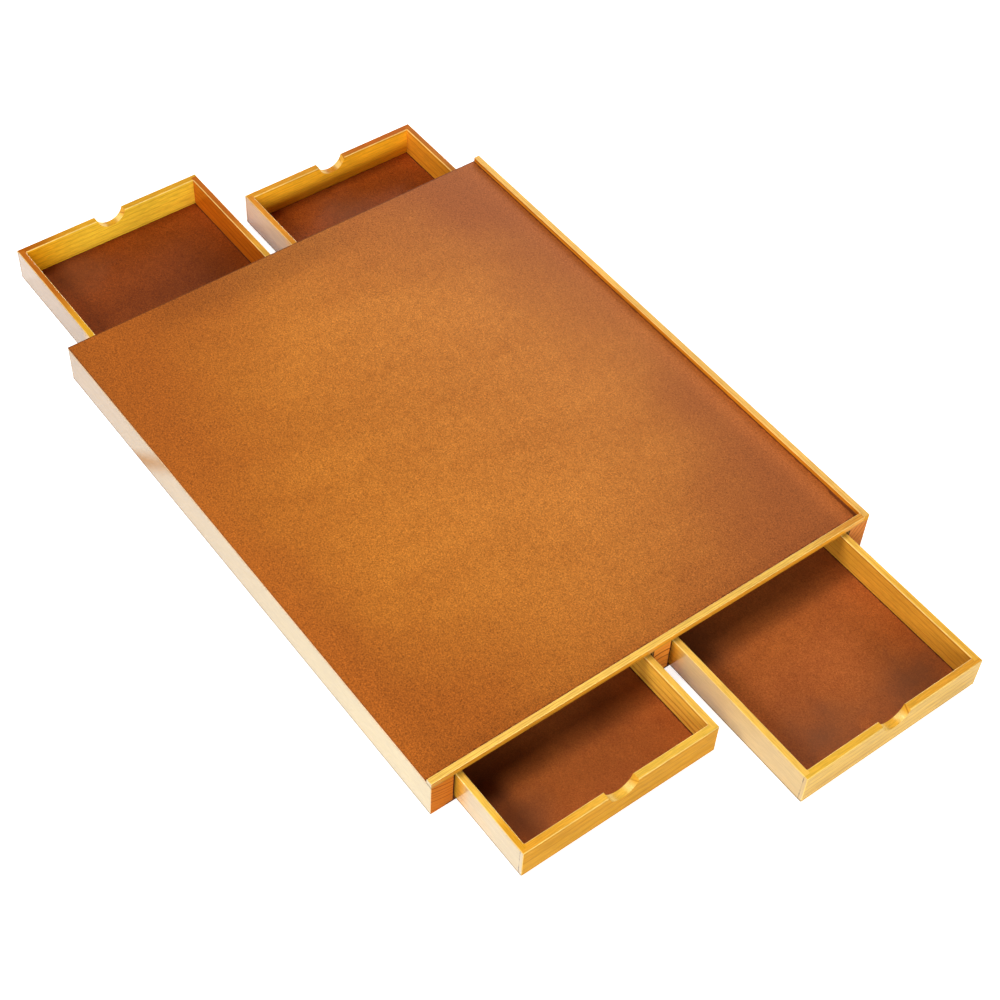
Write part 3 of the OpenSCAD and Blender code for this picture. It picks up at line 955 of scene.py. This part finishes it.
def dress_walls(number):
    """Each wall of a drawer has its own piece of pine."""
    drawer = f"drawer_{number}"
    near = number < 3
    opening = -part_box("work_panel")[0].x
    walls = drawer_walls(number)
    outer = next(iter(walls))
    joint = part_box(f"{drawer}_{outer}")[near].x
    outwards = 1.0 if near else -1.0
    side_span = tuple(outwards * (opening + distance) for distance in SIDE_SPANS[number])
    for k, (wall, (wood, top, axis, coat, figure)) in enumerate(walls.items()):
        seed = 4 * number + k
        span = side_span if axis == "X" else FRONT_SPANS[number]
        details = {"top": top, "figure": figure, "span": span}
        if wall in (outer, "front"):
            details.update(worn=(*PAINTED_REFLECTION[number], opening), joint=joint)
        dress_pine(f"{drawer}_{wall}", wood, axis, *cut_of(seed), coat, 0.9 * seed, **details)


def dress_drawers():
    """The drawers' walls in pine, their floors in hardboard and their brads in steel."""
    steel = plain("brad_steel", ZINC, 0.4, metallic=1.0)
    for number in range(1, 5):
        dress_walls(number)
        floor = f"drawer_{number}_floor"
        dress(floor, drawer_floor(floor, *FLOORS[number], FLOOR_MARKS[number]))
        dress(f"drawer_{number}_brads", steel)


def soft_box(name, at, width, height, power):
    """A rectangular lamp that faces the object's middle."""
    lamp = bpy.data.lights.new(name, "AREA")
    lamp.shape = "RECTANGLE"
    lamp.size = width
    lamp.size_y = height
    lamp.energy = power
    thing = bpy.data.objects.new(name, lamp)
    thing.location = at
    thing.rotation_euler = (-Vector(at)).to_track_quat("-Z", "Y").to_euler()
    bpy.context.scene.collection.objects.link(thing)


def make_lamps():
    """Soft boxes round the object, far enough away that near and far pieces are lit alike."""
    for name, setting in SOFT_BOXES.items():
        soft_box(name, *setting)


def background_strength(tree, shown, lit):
    """shown for camera, glossy and transmission rays, and lit for the rest."""
    rays = tree.nodes.new("ShaderNodeLightPath")
    seen = rays.outputs["Is Camera Ray"]
    for kind in ("Is Glossy Ray", "Is Transmission Ray"):
        either = tree.nodes.new("ShaderNodeMath")
        either.operation = "MAXIMUM"
        tree.links.new(seen, either.inputs[0])
        tree.links.new(rays.outputs[kind], either.inputs[1])
        seen = either.outputs[0]
    level = tree.nodes.new("ShaderNodeMapRange")
    tree.links.new(seen, level.inputs["Value"])
    level.inputs["To Min"].default_value = lit
    level.inputs["To Max"].default_value = shown
    return level.outputs["Result"]


def make_world():
    world = bpy.data.worlds.new("studio")
    bpy.context.scene.world = world
    world.use_nodes = True
    background = world.node_tree.nodes["Background"]
    background.inputs["Color"].default_value = (1.0, 1.0, 1.0, 1.0)
    strength = background_strength(world.node_tree, WORLD_SHOWN, WORLD_LIT)
    world.node_tree.links.new(strength, background.inputs["Strength"])


def floor_material():
    """A pale floor that glows for the camera, a little more far away, and still takes shadows."""
    g = Graph("studio_white")
    point = g.node("ShaderNodeNewGeometry").outputs["Position"]
    away = g.node_fed("ShaderNodeVectorMath", point, operation="LENGTH").outputs["Value"]
    glow = g.node_fed("ShaderNodeMapRange", away, *GLOW_REACH, *GLOW_LEVELS).outputs["Result"]
    g.feed((FLOOR_GREY,) * 3, g.surface.inputs["Base Color"])
    g.feed(FLOOR_ROUGHNESS, g.surface.inputs["Roughness"])
    g.feed((1.0, 1.0, 1.0), g.surface.inputs["Emission Color"])
    shown = g.math("MULTIPLY", background_strength(g.tree, 1.0, 0.0), glow)
    g.join(shown, g.surface.inputs["Emission Strength"])
    return g.material


def make_floor():
    """A wide white floor that keeps the object's soft shadow."""
    mesh = bpy.data.meshes.new("studio_floor")
    signs = ((-1, -1), (1, -1), (1, 1), (-1, 1))
    corners = [(x * FLOOR_HALF, y * FLOOR_HALF, FLOOR_HEIGHT) for x, y in signs]
    mesh.from_pydata(corners, [], [(0, 1, 2, 3)])
    mesh.materials.append(floor_material())
    floor = bpy.data.objects.new("studio_floor", mesh)
    bpy.context.scene.collection.objects.link(floor)


def make_camera():
    data = bpy.data.cameras.new("camera")
    data.sensor_width = SENSOR
    data.lens = FOCAL_SHARE * SENSOR
    data.clip_start = CLIP_START
    data.clip_end = CLIP_END
    camera = bpy.data.objects.new("camera", data)
    bpy.context.scene.collection.objects.link(camera)
    azimuth, elevation = math.radians(CAMERA_AZIMUTH), math.radians(CAMERA_ELEVATION)
    back = Vector((math.sin(azimuth) * math.cos(elevation), -math.cos(azimuth) * math.cos(elevation),
                   math.sin(elevation)))
    turn = (-back).to_track_quat("-Z", "Y").to_matrix().to_4x4()
    roll = Matrix.Rotation(math.radians(CAMERA_ROLL), 4, "Z")
    camera.matrix_world = Matrix.Translation(CAMERA_AT) @ turn @ roll
    bpy.context.scene.camera = camera


dress_frame()
dress_drawers()
make_lamps()
make_world()
make_floor()
make_camera()
bpy.context.scene.view_settings.view_transform = "Standard"
